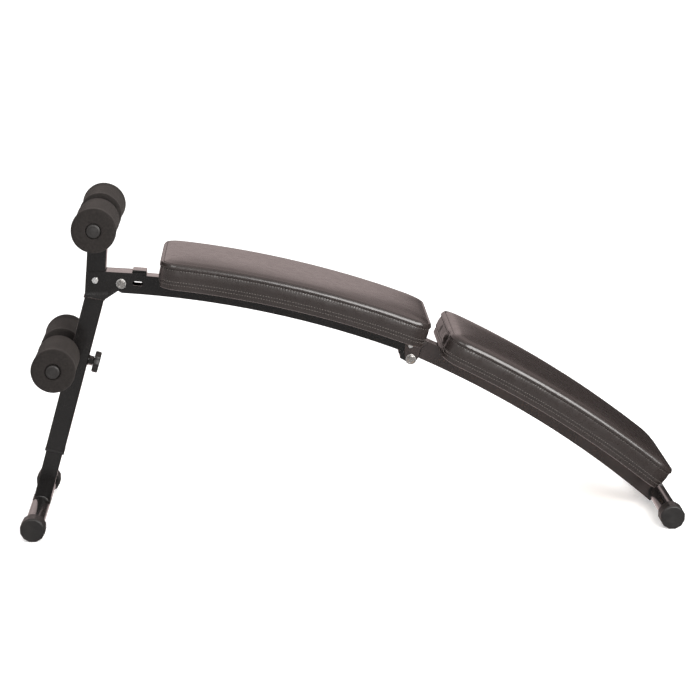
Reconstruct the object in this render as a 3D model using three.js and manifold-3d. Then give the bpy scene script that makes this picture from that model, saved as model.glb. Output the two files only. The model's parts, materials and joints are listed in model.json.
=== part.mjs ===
// Decline sit up bench: a folding frame of square tube with two curved pads.
//
// Units are millimetres. While the bench is drawn, X runs from the front foot
// to the rear foot, Y runs across the bench and Z is up from the floor, with
// X = 0 at the axis of the front foot. The last lines move the whole bench so
// that its origin is the middle of its footprint on the floor.

import * as THREE from 'three';
import { mergeVertices } from 'three/addons/utils/BufferGeometryUtils.js';
import Module from 'manifold-3d';

const wasm = await Module();
wasm.setup();

// ---------------------------------------------------------------- dimensions

const GAP = 0.3; // clearance kept between pieces that touch
const WALL = 1.8; // steel tube wall
const PLATE = 3; // folded plate thickness

// feet: round cross tubes with twelve sided caps, standing on a flat of each cap
const FOOT_SPACING = 1329;
const FOOT_TUBE_R = 19;
const CAP_FLAT_R = 25.5; // cap centre to a flat
const CAP_SIDES = 12;
const CAP_LENGTH = 35;
const CAP_END = 6;
const FOOT_HALF_WIDTH = 184;

// leg: two square tubes, one in the other, leaning to the rear
const LEG_LEAN = THREE.MathUtils.degToRad(16.2);
const LEG_HALF = 20; // half the outer tube's side
const INNER_HALF = 17.5; // half the inner tube's side
const LEG_BOTTOM = 127; // along the leg, from the foot axis
const LEG_TOP = 470;
const INNER_TOP = 392;
const COLLAR_LENGTH = 5;

// post: the same square tube, welded on the leg with less lean
const POST_LEAN = THREE.MathUtils.degToRad(5);
const POST_TOP = 191; // along the post, from the kink
const POST_BOLT_S = 39.3;
const UPPER_AXLE_S = 168.8;

// roller axles and foam rollers
const AXLE_R = 12.5;
const AXLE_HALF = 157.2;
const ROLLER_R = 45.5;
const ROLLER_BORE_R = 13;
const ROLLER_INNER = 24; // from the middle of the bench to a roller's inner end
const ROLLER_OUTER = 163;
const ROLLER_EDGE_R = 9;
const PLUG_R = 14.5;
const PLUG_POCKET = 6;
const LOWER_AXLE_U = -41; // across the leg, in front of its middle
const LOWER_AXLE_S = 333; // along the leg

// rails: rectangular tube bent to two large arcs
const RAIL_HALF = 17.5; // half the width across the bench
const RAIL_HEIGHT = 40;
const FRONT_ARC = { x: 29.8, z: -1539.3, r: 2032 }; // r is the underside
const REAR_ARC = { x: -93.4, z: -1598.2, r: 2134.4 };
const FOLD_PIVOT = { x: 188, z: 508 };
const STUB_R = 18.7;
const FRONT_RAIL_END = 793;
const REAR_RAIL_TOP_START = 796;
const REAR_RAIL_BOTTOM_START = 808;
const SLOT = { from: 216, to: 228, r: 4.7, lift: 2.1 };
const STOP_BLOCK = { from: 212, to: 241, height: 10.5 };

// middle joint
const MID_PIVOT = { x: 792, z: 335 };
const STOP_PIN_Z = 364;
const STOP_PIN_R = 4;
const CHEEK = { inner: 17.8, outer: 21.3, eyeR: 12 };
const SWING_R = 48.6; // furthest a rear piece may reach above the middle pivot
const BOLT_R = 5;
const BORE_R = 5.3;

// pads
const BOARD = { thickness: 10, inset: 12, lift: 0.5 };
const PAD_TOP = 54; // above the rail
const CUSHION_BOTTOM = 12.8; // it rests on the board and its nuts
const COVER_EDGE = 1.2; // the cover's sides come down past the board to here
const PAST_PAD = { front: 20, rear: 50 }; // how far a layer runs on before its ends are cut
// a pad's ends are square to the rail; from and to are where they meet its top
const FRONT_PAD = { from: 269, to: 810, halfWidth: 129, cornerR: 34 };
const REAR_PAD = { from: 848.5, to: 1308.3, halfWidth: 137, cornerR: 40 };
const PAD_STEPS = 14; // straight steps along a pad
const END_BLOCK = { length: 700, below: 150, above: 250 }; // longer and taller than a pad
const SCREW = { r: 3, headR: 6, headHeight: 3.5, accessR: 7.5 };

const ROUND = 16; // sides on small round pieces
const ARC_STEPS = 16; // straight steps along a rail

// ------------------------------------------------------------------ materials

function steelPaint() {
  return new THREE.MeshStandardMaterial({ color: 0x1b1817, roughness: 0.28, metalness: 0.3 });
}

function zinc() {
  return new THREE.MeshStandardMaterial({ color: 0xc4c4c0, roughness: 0.3, metalness: 1 });
}

function blackPlastic() {
  return new THREE.MeshStandardMaterial({ color: 0x232125, roughness: 0.5, metalness: 0 });
}

function foam() {
  return new THREE.MeshStandardMaterial({ color: 0x2b2725, roughness: 0.95, metalness: 0 });
}

function leatherette() {
  return new THREE.MeshStandardMaterial({ color: 0x2a2321, roughness: 0.35, metalness: 0 });
}

function plywood() {
  return new THREE.MeshStandardMaterial({ color: 0xb08a5c, roughness: 0.8, metalness: 0 });
}

// ------------------------------------------------------------- solid geometry

function solidOf(geometry) {
  const bare = geometry.clone();
  bare.deleteAttribute('normal');
  bare.deleteAttribute('uv');
  const merged = mergeVertices(bare, 1e-4);
  const mesh = new wasm.Mesh({
    numProp: 3,
    vertProperties: new Float32Array(merged.attributes.position.array),
    triVerts: new Uint32Array(merged.index.array),
  });
  return new wasm.Manifold(mesh);
}

function geometryOf(solid) {
  const mesh = solid.getMesh();
  const geometry = new THREE.BufferGeometry();
  geometry.setAttribute('position', new THREE.BufferAttribute(mesh.vertProperties, 3));
  geometry.setIndex(new THREE.BufferAttribute(mesh.triVerts, 1));
  geometry.computeVertexNormals();
  return geometry;
}

function cut(body, ...tools) {
  let solid = solidOf(body);
  for (const tool of tools) {
    solid = solid.subtract(solidOf(tool));
  }
  return geometryOf(solid);
}

function join(body, ...others) {
  let solid = solidOf(body);
  for (const other of others) {
    solid = solid.add(solidOf(other));
  }
  return geometryOf(solid);
}

function overlap(body, other) {
  return geometryOf(solidOf(body).intersect(solidOf(other)));
}

// An outline in the X-Z plane, given a thickness across the bench.
function sidePlate(points, yFrom, yTo) {
  const shape = new THREE.Shape(points);
  const geometry = new THREE.ExtrudeGeometry(shape, {
    depth: yTo - yFrom,
    bevelEnabled: false,
    curveSegments: 1,
  });
  geometry.rotateX(Math.PI / 2);
  geometry.translate(0, yTo, 0);
  return geometry;
}

function block(xFrom, xTo, yFrom, yTo, zFrom, zTo) {
  const geometry = new THREE.BoxGeometry(xTo - xFrom, yTo - yFrom, zTo - zFrom);
  geometry.translate((xFrom + xTo) / 2, (yFrom + yTo) / 2, (zFrom + zTo) / 2);
  return geometry;
}

// A cylinder or prism across the bench.
function rodY(radius, yFrom, yTo, x, z, sides = ROUND) {
  const geometry = new THREE.CylinderGeometry(radius, radius, yTo - yFrom, sides);
  geometry.translate(x, (yFrom + yTo) / 2, z);
  return geometry;
}

// A cylinder or prism standing up.
function rodZ(radius, zFrom, zTo, sides = ROUND) {
  const geometry = new THREE.CylinderGeometry(radius, radius, zTo - zFrom, sides);
  geometry.rotateX(Math.PI / 2);
  geometry.translate(0, 0, (zFrom + zTo) / 2);
  return geometry;
}

// A cylinder or prism that points to the rear.
function rodX(radius, xFrom, xTo, z, sides = ROUND) {
  const geometry = new THREE.CylinderGeometry(radius, radius, xTo - xFrom, sides);
  geometry.rotateZ(Math.PI / 2);
  geometry.translate((xFrom + xTo) / 2, 0, z);
  return geometry;
}

// A turned piece on the Y axis, from [radius, y] pairs.
function turnedY(profile, sides) {
  return new THREE.LatheGeometry(profile.map(([r, y]) => new THREE.Vector2(r, y)), sides);
}

function squareTube(half, zFrom, zTo) {
  const inner = half - WALL;
  const outside = block(-half, half, -half, half, zFrom, zTo);
  return cut(outside, block(-inner, inner, -inner, inner, zFrom - 1, zTo + 1));
}

// ------------------------------------------------------------------- outlines

function arcZ(arc, radius, x) {
  return arc.z + Math.sqrt(radius ** 2 - (x - arc.x) ** 2);
}

function arcPoints(arc, radius, xFrom, xTo, steps) {
  const points = [];
  for (let i = 0; i <= steps; i += 1) {
    const x = xFrom + ((xTo - xFrom) * i) / steps;
    points.push(new THREE.Vector2(x, arcZ(arc, radius, x)));
  }
  return points;
}

function circlePoints(centre, radius, degFrom, degTo, steps) {
  const points = [];
  for (let i = 0; i <= steps; i += 1) {
    const angle = THREE.MathUtils.degToRad(degFrom + ((degTo - degFrom) * i) / steps);
    const x = centre.x + radius * Math.cos(angle);
    points.push(new THREE.Vector2(x, centre.z + radius * Math.sin(angle)));
  }
  return points;
}

function outline(pairs) {
  return pairs.map(([x, z]) => new THREE.Vector2(x, z));
}

// ---------------------------------------------------------------- scene graph

const bench = new THREE.Group();
const frontRailGroup = new THREE.Group();
const standGroup = new THREE.Group();
const rearRailGroup = new THREE.Group();
const legGroup = new THREE.Group();
const postGroup = new THREE.Group();

// Leg pieces are drawn along +Z from the axis of the front foot.
legGroup.position.set(0, 0, CAP_FLAT_R);
legGroup.rotation.y = LEG_LEAN;

// Post pieces are drawn along +Z from the kink at the top of the leg.
postGroup.position.set(
  LEG_TOP * Math.sin(LEG_LEAN),
  0,
  CAP_FLAT_R + LEG_TOP * Math.cos(LEG_LEAN),
);
postGroup.rotation.y = POST_LEAN;

standGroup.add(legGroup, postGroup);
bench.add(frontRailGroup, standGroup, rearRailGroup);

function place(group, name, geometry, material) {
  const mesh = new THREE.Mesh(geometry, material);
  mesh.name = name;
  group.add(mesh);
  return mesh;
}

// A point drawn in the post's frame, seen from the side of the bench.
function postPoint(u, s) {
  return [
    postGroup.position.x + s * Math.sin(POST_LEAN) + u * Math.cos(POST_LEAN),
    postGroup.position.z + s * Math.cos(POST_LEAN) - u * Math.sin(POST_LEAN),
  ];
}

// --------------------------------------------------------------- shared parts

// A hexagon bolt across the bench: head on the near side, shank to the far side.
function hexBolt(radius, headR, headHeight, nearFace, farEnd, at) {
  const shank = rodY(radius, nearFace - 0.5, farEnd, at.x, at.z);
  const head = rodY(headR, nearFace - headHeight, nearFace, at.x, at.z, 6);
  return join(head, shank);
}

function ringY(outerR, innerR, yFrom, yTo, at, sides = ROUND) {
  const ring = rodY(outerR, yFrom, yTo, at.x, at.z, sides);
  return cut(ring, rodY(innerR, yFrom - 1, yTo + 1, at.x, at.z));
}

// A cup on the end of a foot tube, with flats, open towards the middle.
function footCap() {
  const corner = CAP_FLAT_R / Math.cos(Math.PI / CAP_SIDES);
  const bore = (FOOT_TUBE_R + GAP) / Math.cos(Math.PI / CAP_SIDES);
  const profile = [
    [0, 0],
    [corner - 3, 0],
    [corner, 3.5],
    [corner, CAP_LENGTH - 2],
    [corner - 2, CAP_LENGTH],
    [bore, CAP_LENGTH],
    [bore, CAP_END],
    [0, CAP_END],
  ];
  const cap = turnedY(profile, CAP_SIDES);
  cap.rotateY(Math.PI / CAP_SIDES);
  return cap;
}

function addFoot(group, prefix, x, z) {
  const half = FOOT_HALF_WIDTH - CAP_END - GAP;
  const inner = FOOT_TUBE_R - WALL;
  const wall = [
    [inner, -half],
    [FOOT_TUBE_R, -half],
    [FOOT_TUBE_R, half],
    [inner, half],
    [inner, -half],
  ];
  const tube = place(group, `${prefix}_crossbar`, turnedY(wall, 32), steelPaint());
  tube.position.set(x, 0, z);
  for (const [side, sign] of [['right', -1], ['left', 1]]) {
    const cap = place(group, `${prefix}_foot_cap_${side}`, footCap(), blackPlastic());
    cap.position.set(x, sign * FOOT_HALF_WIDTH, z);
    // The cap's closed end is drawn at y = 0 with the cup along +Y.
    cap.rotation.z = sign > 0 ? Math.PI : 0;
  }
}

function rollerGeometry() {
  const pocket = ROLLER_OUTER - PLUG_POCKET;
  const profile = [[ROLLER_BORE_R, ROLLER_INNER]];
  const corners = [
    [ROLLER_INNER + ROLLER_EDGE_R, -90],
    [ROLLER_OUTER - ROLLER_EDGE_R, 0],
  ];
  for (const [y, startDeg] of corners) {
    for (let i = 0; i <= 3; i += 1) {
      const angle = THREE.MathUtils.degToRad(startDeg + (90 * i) / 3);
      const r = ROLLER_R - ROLLER_EDGE_R + ROLLER_EDGE_R * Math.cos(angle);
      profile.push([r, y + ROLLER_EDGE_R * Math.sin(angle)]);
    }
  }
  profile.push([PLUG_R + 1.5, ROLLER_OUTER]);
  profile.push([PLUG_R + 1.5, pocket]);
  profile.push([ROLLER_BORE_R, pocket]);
  profile.push([ROLLER_BORE_R, ROLLER_INNER]);
  return turnedY(profile, 24);
}

// A domed button with a spigot that sits inside the end of the axle tube.
function plugGeometry(headLength) {
  const start = AXLE_HALF + GAP;
  const end = start + headLength;
  const spigotR = AXLE_R - WALL - GAP;
  const profile = [
    [0, start - 14],
    [spigotR, start - 14],
    [spigotR, start],
    [PLUG_R, start],
    [PLUG_R, end - 2.5],
    [PLUG_R - 2, end - 0.8],
    [PLUG_R - 5, end],
    [0, end],
  ];
  return turnedY(profile, 24);
}

function axleTube() {
  const inner = AXLE_R - WALL;
  const wall = [
    [inner, -AXLE_HALF],
    [AXLE_R, -AXLE_HALF],
    [AXLE_R, AXLE_HALF],
    [inner, AXLE_HALF],
    [inner, -AXLE_HALF],
  ];
  return turnedY(wall, 24);
}

// An axle, its two end plugs and its two foam rollers.
function addRollers(group, prefix, x, z, plugLength) {
  const axle = place(group, `${prefix}_axle`, axleTube(), steelPaint());
  axle.position.set(x, 0, z);
  for (const [side, turn] of [['left', 0], ['right', Math.PI]]) {
    const plug = place(group, `${prefix}_plug_${side}`, plugGeometry(plugLength), blackPlastic());
    plug.position.set(x, 0, z);
    plug.rotation.z = turn;
    const roller = place(group, `${prefix}_roller_${side}`, rollerGeometry(), foam());
    roller.position.set(x, 0, z);
    roller.rotation.z = turn;
  }
}

// ------------------------------------------------------------------ the stand

function legTube() {
  const tube = squareTube(LEG_HALF, LEG_BOTTOM, LEG_TOP + 10);
  const mitre = Math.tan((LEG_LEAN - POST_LEAN) / 2);
  const above = sidePlate(
    outline([
      [-LEG_HALF - 5, LEG_TOP - GAP - (LEG_HALF + 5) * mitre],
      [LEG_HALF + 5, LEG_TOP - GAP + (LEG_HALF + 5) * mitre],
      [LEG_HALF + 5, LEG_TOP + 40],
      [-LEG_HALF - 5, LEG_TOP + 40],
    ]),
    -LEG_HALF - 5,
    LEG_HALF + 5,
  );
  const screwHole = rodX(BORE_R, 0, LEG_HALF + 5, LOWER_AXLE_S);
  return cut(tube, above, screwHole);
}

function legCollar() {
  const outer = LEG_HALF + 0.6;
  const inner = INNER_HALF + GAP;
  const top = LEG_BOTTOM - GAP;
  const ring = block(-outer, outer, -outer, outer, top - COLLAR_LENGTH, top);
  return cut(ring, block(-inner, inner, -inner, inner, top - COLLAR_LENGTH - 1, top + 1));
}

function postTube() {
  const mitre = Math.tan((LEG_LEAN - POST_LEAN) / 2);
  const tube = squareTube(LEG_HALF, -10, POST_TOP);
  const below = sidePlate(
    outline([
      [-LEG_HALF - 5, -40],
      [LEG_HALF + 5, -40],
      [LEG_HALF + 5, GAP - (LEG_HALF + 5) * mitre],
      [-LEG_HALF - 5, GAP + (LEG_HALF + 5) * mitre],
    ]),
    -LEG_HALF - 5,
    LEG_HALF + 5,
  );
  const axleHole = rodY(AXLE_R + GAP, -30, 30, 0, UPPER_AXLE_S, 24);
  const boltHole = rodY(4.3, -30, 30, 0, POST_BOLT_S);
  return cut(tube, below, axleHole, boltHole);
}

function postPlug() {
  const inner = LEG_HALF - WALL - GAP;
  const from = POST_TOP + GAP;
  const lid = block(-LEG_HALF, LEG_HALF, -LEG_HALF, LEG_HALF, from, from + 3);
  const spigot = block(-inner, inner, -inner, inner, from - 8, from + 1);
  return join(lid, spigot);
}

// Two side plates round the post and the rail, with a web over the rail and a
// pressed rib low on each plate.
function headBracket() {
  const inner = LEG_HALF + GAP;
  const outer = inner + PLATE;
  const plate = outline([
    postPoint(-LEG_HALF, 3.5),
    [151.5, 473],
    [239, 529.5],
    [212, 529.5],
    [157, 533.5],
    postPoint(-LEG_HALF, 55),
  ]);
  const web = outline([[157.2, 530.3], [211, 526.2], [211, 529.4], [157.2, 533.3]]);
  const [boltX, boltZ] = postPoint(0, POST_BOLT_S);
  const parts = [];
  for (const side of [-1, 1]) {
    const near = side < 0 ? -outer : inner;
    parts.push(sidePlate(plate, near, near + PLATE));
    const rib = rodX(6.5, 114, 161, 0, 4);
    rib.scale(1, 0.45, 1);
    rib.translate(0, side * outer, 486);
    parts.push(rib);
  }
  const body = join(sidePlate(web, -outer, outer), ...parts);
  return cut(
    body,
    rodY(4.3, -40, 40, boltX, boltZ),
    rodY(BORE_R, -40, 40, FOLD_PIVOT.x, FOLD_PIVOT.z),
  );
}

// A cradle between the leg's front face and the lower axle.
function axleSaddle() {
  const cradle = block(-36, -LEG_HALF - GAP, -18, 18, LOWER_AXLE_S - 15, LOWER_AXLE_S + 15);
  return cut(cradle, rodY(AXLE_R + GAP, -30, 30, LOWER_AXLE_U, LOWER_AXLE_S, 24));
}

function addStand() {
  place(legGroup, 'leg_tube', legTube(), steelPaint());
  place(legGroup, 'leg_collar', legCollar(), blackPlastic());
  place(legGroup, 'lower_axle_saddle', axleSaddle(), steelPaint());
  addRollers(legGroup, 'lower', LOWER_AXLE_U, LOWER_AXLE_S, 9);

  place(postGroup, 'post_tube', postTube(), steelPaint());
  place(postGroup, 'post_plug', postPlug(), blackPlastic());
  addRollers(postGroup, 'upper', 0, UPPER_AXLE_S, 5);

  place(standGroup, 'head_bracket', headBracket(), steelPaint());
  const face = LEG_HALF + PLATE + 2 * GAP;
  const [boltX, boltZ] = postPoint(0, POST_BOLT_S);
  const postBolt = { x: boltX, z: boltZ };
  const head = rodY(6.5, -face - 4, -face, boltX, boltZ, 24);
  const shank = rodY(4, -face - 1, face + 9, boltX, boltZ);
  place(standGroup, 'post_bolt', join(head, shank), zinc());
  place(standGroup, 'post_nut', ringY(7.5, 4.3, face, face + 6.5, postBolt, 6), zinc());

  const washer = 2;
  const underHead = face + washer + GAP;
  const bolt = hexBolt(BOLT_R, 9.2, 6.5, -underHead, underHead + 11, FOLD_PIVOT);
  place(standGroup, 'fold_bolt', bolt, zinc());
  const near = ringY(10.5, BORE_R, -face - washer, -face, FOLD_PIVOT);
  const far = ringY(10.5, BORE_R, face, face + washer, FOLD_PIVOT);
  place(standGroup, 'fold_washer_near', near, zinc());
  place(standGroup, 'fold_washer_far', far, zinc());
  const nut = ringY(9.2, BORE_R, underHead, underHead + 8, FOLD_PIVOT, 6);
  place(standGroup, 'fold_nut', nut, zinc());
}

// ------------------------------------------- the leg extension and its clamp

function legExtension() {
  const tube = squareTube(INNER_HALF, 0, INNER_TOP);
  return cut(tube, rodY(FOOT_TUBE_R + GAP, -40, 40, 0, 0, 32));
}

function knobGeometry() {
  const lobes = 8;
  const count = lobes * 4;
  const points = [];
  for (let i = 0; i < count; i += 1) {
    const angle = (Math.PI * 2 * i) / count;
    const r = 21.8 + 1.2 * Math.cos(lobes * angle);
    points.push(new THREE.Vector2(r * Math.cos(angle), r * Math.sin(angle)));
  }
  const head = new THREE.ExtrudeGeometry(new THREE.Shape(points), {
    depth: 9.5,
    bevelEnabled: true,
    bevelThickness: 2,
    bevelSize: 1.5,
    bevelOffset: -1.5,
    bevelSegments: 1,
    curveSegments: 1,
  });
  head.rotateY(Math.PI / 2);
  head.translate(2, 0, 0);
  const bore = rodX(BORE_R, -1, 11, 0);
  const knob = cut(head, bore);
  knob.translate(31, 0, LOWER_AXLE_S);
  return knob;
}

function addLegExtension() {
  place(legGroup, 'leg_extension', legExtension(), steelPaint());
  addFoot(legGroup, 'front', 0, 0);
  // Turn the front caps back, so that a flat lies on the floor.
  for (const child of legGroup.children) {
    if (child.name.startsWith('front_foot_cap')) {
      child.rotation.order = 'YZX';
      child.rotation.y = -LEG_LEAN;
    }
  }
}

function addClamp() {
  const nut = rodX(11, LEG_HALF + GAP, 30.7, LOWER_AXLE_S, 6);
  const bored = cut(nut, rodX(BORE_R, 0, 40, LOWER_AXLE_S));
  place(legGroup, 'knob_nut', bored, steelPaint());
  const screw = rodX(BOLT_R, INNER_HALF + GAP, 41.5, LOWER_AXLE_S);
  place(legGroup, 'clamp_screw', screw, zinc());
  place(legGroup, 'star_knob', knobGeometry(), blackPlastic());
}

// ----------------------------------------------------------------- the rails

// The side outline of the front rail. inset is 0 for the outside of the tube.
function frontRailOutline(inset, end) {
  const bottomR = FRONT_ARC.r + inset;
  const topR = FRONT_ARC.r + RAIL_HEIGHT - inset;
  const stub = circlePoints(FOLD_PIVOT, STUB_R - inset, 225, 93, 8);
  return [
    ...arcPoints(FRONT_ARC, bottomR, end, FOLD_PIVOT.x, ARC_STEPS),
    ...stub,
    ...arcPoints(FRONT_ARC, topR, FOLD_PIVOT.x + 2, end, ARC_STEPS),
  ];
}

function slotTool() {
  const bar = [];
  for (const [x, from, to] of [[SLOT.to, -90, 90], [SLOT.from, 90, 270]]) {
    const middle = arcZ(FRONT_ARC, FRONT_ARC.r + RAIL_HEIGHT / 2, x) + SLOT.lift;
    bar.push(...circlePoints({ x, z: middle }, SLOT.r, from, to, 8));
  }
  return sidePlate(bar, -40, 40);
}

// The tilt of the rail's own upright at the underside point x.
function railTilt(arc, x) {
  return Math.asin((x - arc.x) / arc.r);
}

// The point at a height above the underside point x, along that upright.
function railPoint(arc, x, height) {
  const tilt = railTilt(arc, x);
  return new THREE.Vector3(
    x + height * Math.sin(tilt),
    0,
    arcZ(arc, arc.r, x) + height * Math.cos(tilt),
  );
}

// A tool that cuts a round hole along the rail's own upright at x, up to a height.
function uprightHole(arc, x, radius, upTo = RAIL_HEIGHT + 40) {
  const hole = rodZ(radius, -20, upTo, 16);
  const foot = railPoint(arc, x, 0);
  hole.rotateY(railTilt(arc, x));
  hole.translate(foot.x, foot.y, foot.z);
  return hole;
}

// Each pad screw goes in through a wide hole below and clamps the rail's top wall.
function screwHoles(arc, places) {
  return places.flatMap((x) => [
    uprightHole(arc, x, SCREW.accessR, RAIL_HEIGHT / 2),
    uprightHole(arc, x, SCREW.r + GAP),
  ]);
}

const FRONT_SCREWS = [365, 735];
const REAR_SCREWS = [930, 1250];

function frontRail() {
  const inner = RAIL_HALF - WALL;
  const outside = sidePlate(frontRailOutline(0, FRONT_RAIL_END), -RAIL_HALF, RAIL_HALF);
  const hollow = sidePlate(frontRailOutline(WALL, FRONT_RAIL_END + 20), -inner, inner);
  const notchR = STOP_PIN_R + GAP + 0.2;
  const notch = sidePlate(
    [
      ...circlePoints({ x: MID_PIVOT.x, z: STOP_PIN_Z }, notchR, 90, 270, 8),
      new THREE.Vector2(FRONT_RAIL_END + 5, STOP_PIN_Z - notchR),
      new THREE.Vector2(FRONT_RAIL_END + 5, STOP_PIN_Z + notchR),
    ],
    -40,
    40,
  );
  const pivotHole = rodY(BORE_R, -40, 40, FOLD_PIVOT.x, FOLD_PIVOT.z);
  const holes = screwHoles(FRONT_ARC, FRONT_SCREWS);
  return cut(outside, hollow, notch, pivotHole, slotTool(), ...holes);
}

function stopBlock() {
  const topR = FRONT_ARC.r + RAIL_HEIGHT;
  const { from, to, height } = STOP_BLOCK;
  const points = [
    ...arcPoints(FRONT_ARC, topR + GAP, from, to, 3),
    new THREE.Vector2(to, arcZ(FRONT_ARC, topR, to) + height),
    new THREE.Vector2(from, arcZ(FRONT_ARC, topR, from) + height),
  ];
  return sidePlate(points, -RAIL_HALF, RAIL_HALF);
}

// The block under the rail's rear end that carries the middle pivot bolt.
function knuckle() {
  const under = (x) => arcZ(FRONT_ARC, FRONT_ARC.r, x) - GAP;
  const points = [
    ...outline([[766, under(766)], [766, 347.5], [769.5, 344.5], [769.5, 336], [780, 330]]),
    ...circlePoints(MID_PIVOT, CHEEK.eyeR - 0.5, 215, 405, 12),
    new THREE.Vector2(FRONT_RAIL_END, under(FRONT_RAIL_END)),
  ];
  const body = sidePlate(points, -RAIL_HALF + 0.5, RAIL_HALF - 0.5);
  return cut(body, rodY(BORE_R, -40, 40, MID_PIVOT.x, MID_PIVOT.z));
}

function addMidPivot() {
  const face = CHEEK.outer + GAP;
  const washer = 2;
  const underHead = face + washer + GAP;
  const bolt = hexBolt(BOLT_R, 9.8, 6.5, -underHead, underHead + 11, MID_PIVOT);
  place(frontRailGroup, 'mid_pivot_bolt', bolt, zinc());
  const near = ringY(11, BORE_R, -face - washer, -face, MID_PIVOT);
  const far = ringY(11, BORE_R, face, face + washer, MID_PIVOT);
  place(frontRailGroup, 'mid_washer_near', near, zinc());
  place(frontRailGroup, 'mid_washer_far', far, zinc());
  const nut = ringY(9.8, BORE_R, underHead, underHead + 8, MID_PIVOT, 6);
  place(frontRailGroup, 'mid_pivot_nut', nut, zinc());
}

function addFrontRail() {
  place(frontRailGroup, 'front_rail', frontRail(), steelPaint());
  place(frontRailGroup, 'rail_stop_block', stopBlock(), steelPaint());
  place(frontRailGroup, 'mid_knuckle', knuckle(), steelPaint());
  addMidPivot();
}

function cheekGeometry(yFrom, yTo) {
  const points = [
    ...outline([[781, 376], [779, 352]]),
    ...circlePoints(MID_PIVOT, CHEEK.eyeR, 188, 340, 12),
    ...outline([[808.5, 338.5], [811, 352], [815, 359], [822, 363.5], [829, 366], [826, 369]]),
  ];
  const plate = sidePlate(points, yFrom, yTo);
  return cut(
    plate,
    rodY(BORE_R, -40, 40, MID_PIVOT.x, MID_PIVOT.z),
    rodY(STOP_PIN_R + GAP, -40, 40, MID_PIVOT.x, STOP_PIN_Z),
  );
}

function stopPin() {
  const face = CHEEK.outer + GAP;
  const profile = [
    [0, -face - 2.5],
    [STOP_PIN_R, -face - 2.5],
    [STOP_PIN_R + 1.2, -face - 1.5],
    [STOP_PIN_R + 1.2, -face],
    [STOP_PIN_R, -face],
    [STOP_PIN_R, face],
    [STOP_PIN_R + 1.2, face],
    [STOP_PIN_R + 1.2, face + 1.5],
    [STOP_PIN_R, face + 2.5],
    [0, face + 2.5],
  ];
  return turnedY(profile, ROUND);
}

function rearRail() {
  const top = REAR_ARC.r + RAIL_HEIGHT;
  const inner = RAIL_HALF - WALL;
  const end = FOOT_SPACING;
  const low = REAR_RAIL_BOTTOM_START;
  const high = REAR_RAIL_TOP_START;
  const shape = (inset, reach) => [
    ...arcPoints(REAR_ARC, REAR_ARC.r + inset, end + reach, low - reach, ARC_STEPS),
    ...arcPoints(REAR_ARC, top - inset, high - reach, end + reach, ARC_STEPS),
  ];
  const outside = sidePlate(shape(0, 0), -RAIL_HALF, RAIL_HALF);
  const hollow = sidePlate(shape(WALL, 20), -inner, inner);
  const foot = rodY(FOOT_TUBE_R + GAP, -40, 40, FOOT_SPACING, CAP_FLAT_R, 32);
  const beyond = block(0, 90, -40, 40, -60, 60);
  beyond.rotateY(railTilt(REAR_ARC, end));
  beyond.translate(end, 0, CAP_FLAT_R);
  // The top corner swings under the front board, so it is rounded about the pivot.
  const corner = cut(
    block(high - 5, high + 12, -40, 40, 376, 395),
    rodY(SWING_R, -41, 41, MID_PIVOT.x, MID_PIVOT.z, 96),
  );
  const holes = screwHoles(REAR_ARC, REAR_SCREWS);
  return cut(outside, hollow, foot, beyond, corner, ...holes);
}

function addRearRail() {
  place(rearRailGroup, 'rear_rail', rearRail(), steelPaint());
  const left = cheekGeometry(CHEEK.inner, CHEEK.outer);
  const right = cheekGeometry(-CHEEK.outer, -CHEEK.inner);
  place(rearRailGroup, 'hinge_cheek_left', left, steelPaint());
  place(rearRailGroup, 'hinge_cheek_right', right, steelPaint());
  const pin = place(rearRailGroup, 'mid_stop_pin', stopPin(), zinc());
  pin.position.set(MID_PIVOT.x, 0, STOP_PIN_Z);
  addFoot(rearRailGroup, 'rear', FOOT_SPACING, CAP_FLAT_R);
}

// ------------------------------------------------------------------ the pads

// A tall block with one round-cornered end, set square to the rail at x on its top.
function endBlock(arc, x, half, cornerR, atRear) {
  const { length, below, above } = END_BLOCK;
  const shape = new THREE.Shape([
    ...circlePoints({ x: cornerR, z: half - cornerR }, cornerR, 90, 180, 5),
    ...circlePoints({ x: cornerR, z: cornerR - half }, cornerR, 180, 270, 5),
    new THREE.Vector2(length, -half),
    new THREE.Vector2(length, half),
  ]);
  const end = new THREE.ExtrudeGeometry(shape, {
    depth: below + above,
    bevelEnabled: false,
    curveSegments: 1,
  });
  end.translate(0, 0, -below);
  if (atRear) {
    end.rotateZ(Math.PI);
  }
  const radius = arc.r + RAIL_HEIGHT;
  end.rotateY(Math.asin((x - arc.x) / radius));
  end.translate(x, 0, arcZ(arc, radius, x));
  return end;
}

// A layer that follows the rail's arc between two heights above the rail.
function arcLayer(arc, pad, inset, low, high) {
  const top = arc.r + RAIL_HEIGHT;
  const from = pad.from - PAST_PAD.front;
  const to = pad.to + PAST_PAD.rear;
  const half = pad.halfWidth - inset;
  const cornerR = pad.cornerR - inset / 2;
  const side = sidePlate(
    [
      ...arcPoints(arc, top + low, to, from, PAD_STEPS),
      ...arcPoints(arc, top + high, from, to, PAD_STEPS),
    ],
    -half - 10,
    half + 10,
  );
  const front = endBlock(arc, pad.from + inset, half, cornerR, false);
  const rear = endBlock(arc, pad.to - inset, half, cornerR, true);
  return overlap(overlap(side, front), rear);
}

function teeNut() {
  const profile = [
    [SCREW.r + GAP, -9],
    [SCREW.r + 1.4, -9],
    [SCREW.r + 1.4, 0],
    [9.5, 0],
    [9.5, 1.4],
    [SCREW.r + GAP, 1.4],
    [SCREW.r + GAP, -9],
  ];
  const nut = turnedY(profile, 16);
  nut.rotateX(Math.PI / 2);
  return nut;
}

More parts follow.
